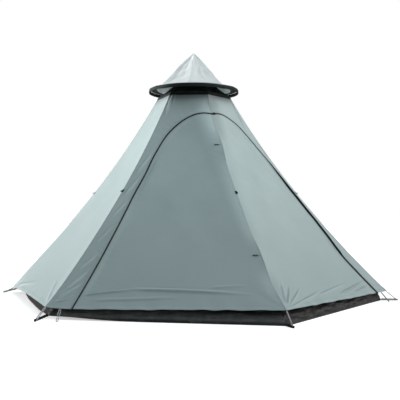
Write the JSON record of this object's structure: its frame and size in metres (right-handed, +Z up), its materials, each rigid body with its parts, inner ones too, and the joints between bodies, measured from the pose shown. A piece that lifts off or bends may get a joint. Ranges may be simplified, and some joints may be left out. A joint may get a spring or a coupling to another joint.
{
  "type": "pyramid tent",
  "caption": "Hexagonal pyramid tent with a centre pole, an arched twin-zip door, an inner tent with a tub floor, and a hooded mesh vent at the top.",
  "frame": {"origin": "on the ground at the middle of the hexagonal floor, on the centre pole's axis", "axes": "+Z up along the pole, -Y towards the rib in the middle of the door, +X to the right of someone who faces the door"},
  "size_m": [3.3522, 3.868, 2.36],
  "materials": {
    "fly_fabric": "coated plain-weave polyester, grey-green, satin",
    "cap_fabric": "coated plain-weave polyester, pale grey-green, satin",
    "binding": "dark woven edge tape",
    "net": "fine black insect net",
    "inner_net": "dark insect net and light woven cloth",
    "tub_fabric": "heavy black coated cloth, slightly glossy",
    "zip_tape": "black coil zip on woven tape",
    "zip_metal": "black-painted cast zinc",
    "pole_steel": "grey powder-coated steel tube",
    "pole_rubber": "matt black moulded rubber",
    "hoop_rod": "glass-fibre rod",
    "toggle": "dark moulded toggle, slightly glossy",
    "webbing": "black woven webbing",
    "grey_cord": "pale grey elastic cord"
  },
  "bodies": {
    "tent": {"fly_left": "fly_fabric", "fly_right": "fly_fabric", "fly_back_left": "fly_fabric", "fly_back_right": "fly_fabric", "fly_front_left": "fly_fabric", "fly_front_right": "fly_fabric", "door_rib_tape": "fly_fabric", "zip_fixed_left": "zip_tape", "zip_fixed_right": "zip_tape", "vent_net": "net", "vent_cap": "cap_fabric", "brim_binding": "binding", "brim_hoop": "hoop_rod", "pole_lower": "pole_steel", "pole_middle": "pole_steel", "pole_upper": "pole_steel", "pole_foot": "pole_rubber", "pole_top": "pole_rubber", "inner_left": "inner_net", "inner_right": "inner_net", "inner_front_left": "inner_net", "inner_front_right": "inner_net", "inner_back_left": "inner_net", "inner_back_right": "inner_net", "inner_collar": "inner_net", "inner_zip": "zip_tape", "tub_floor": "tub_fabric", "guy_loop_left_back": "webbing", "guy_loop_left_front": "webbing", "guy_loop_front": "webbing", "guy_loop_right_front": "webbing", "guy_loop_right_back": "webbing", "guy_loop_back": "webbing", "fly_peg_loop_left_back": "grey_cord", "fly_peg_loop_left_front": "grey_cord", "fly_peg_loop_front": "grey_cord", "fly_peg_loop_right_front": "grey_cord", "fly_peg_loop_right_back": "grey_cord", "fly_peg_loop_back": "grey_cord", "floor_peg_loop_left_back": "webbing", "floor_peg_loop_left_front": "webbing", "floor_peg_loop_front": "webbing", "floor_peg_loop_right_front": "webbing", "floor_peg_loop_right_back": "webbing", "floor_peg_loop_back": "webbing", "zip_peg_loop_left": "grey_cord", "zip_peg_loop_right": "grey_cord"},
    "door_left": {"door_flap_left": "fly_fabric", "zip_flap_left": "zip_tape"},
    "door_right": {"door_flap_right": "fly_fabric", "zip_flap_right": "zip_tape"},
    "zip_slider_left": {"zip_slider_left": "zip_metal"},
    "zip_slider_right": {"zip_slider_right": "zip_metal"},
    "zip_pull_left": {"zip_pull_left": "zip_metal"},
    "zip_pull_right": {"zip_pull_right": "zip_metal"},
    "inner_door": {"inner_door": "inner_net"},
    "inner_slider": {"inner_slider": "zip_metal"},
    "inner_pull": {"inner_pull": "zip_metal"},
    "toggle_upper": {"toggle_upper": "toggle"},
    "toggle_lower": {"toggle_lower": "toggle"}
  },
  "joints": [
    {"name": "door_left_swing", "type": "hinge", "parent": "tent", "child": "door_left", "pos_m": [0, -1.83, 0.085], "axis": [0, 0.6358, 0.7718], "range_deg": [0, 110]},
    {"name": "door_right_swing", "type": "hinge", "parent": "tent", "child": "door_right", "pos_m": [0, -1.83, 0.085], "axis": [0, -0.6358, -0.7718], "range_deg": [0, 110]},
    {"name": "zip_left_slide", "type": "slide", "parent": "tent", "child": "zip_slider_left", "axis": [0.5573, 0.4113, 0.7213], "range_m": [0, 0.35]},
    {"name": "zip_right_slide", "type": "slide", "parent": "tent", "child": "zip_slider_right", "axis": [-0.5573, 0.4113, 0.7213], "range_m": [0, 0.35]},
    {"name": "zip_left_pull", "type": "hinge", "parent": "zip_slider_left", "child": "zip_pull_left", "pos_m": [-1.39649, -1.01771, 0.1026], "axis": [-0.7411, 0.6382, 0.2086], "range_deg": [0, 150]},
    {"name": "zip_right_pull", "type": "hinge", "parent": "zip_slider_right", "child": "zip_pull_right", "pos_m": [1.39649, -1.01771, 0.1026], "axis": [-0.7411, -0.6382, -0.2086], "range_deg": [0, 150]},
    {"name": "toggle_upper_swing", "type": "hinge", "parent": "door_left", "child": "toggle_upper", "pos_m": [-0.01486, -0.67616, 1.42097], "axis": [-0.5079, -0.7056, 0.4941], "range_deg": [-40, 40]},
    {"name": "toggle_lower_swing", "type": "hinge", "parent": "door_left", "child": "toggle_lower", "pos_m": [-0.01476, -1.43412, 0.4908], "axis": [-0.4169, -0.6661, 0.6185], "range_deg": [-40, 40]},
    {"name": "inner_door_tip", "type": "hinge", "parent": "tent", "child": "inner_door", "pos_m": [-0.71971, -1.24657, 0.18341], "axis": [-0.866, 0.5, 0], "range_deg": [0, 45]},
    {"name": "inner_zip_slide", "type": "slide", "parent": "tent", "child": "inner_slider", "axis": [0.3361, 0.5821, 0.7404], "range_m": [0, 0.35]},
    {"name": "inner_zip_pull", "type": "hinge", "parent": "inner_slider", "child": "inner_pull", "pos_m": [-0.26646, -1.50137, 0.20427], "axis": [-0.8626, 0.5058, -0.0061], "range_deg": [0, 60]}
  ]
}
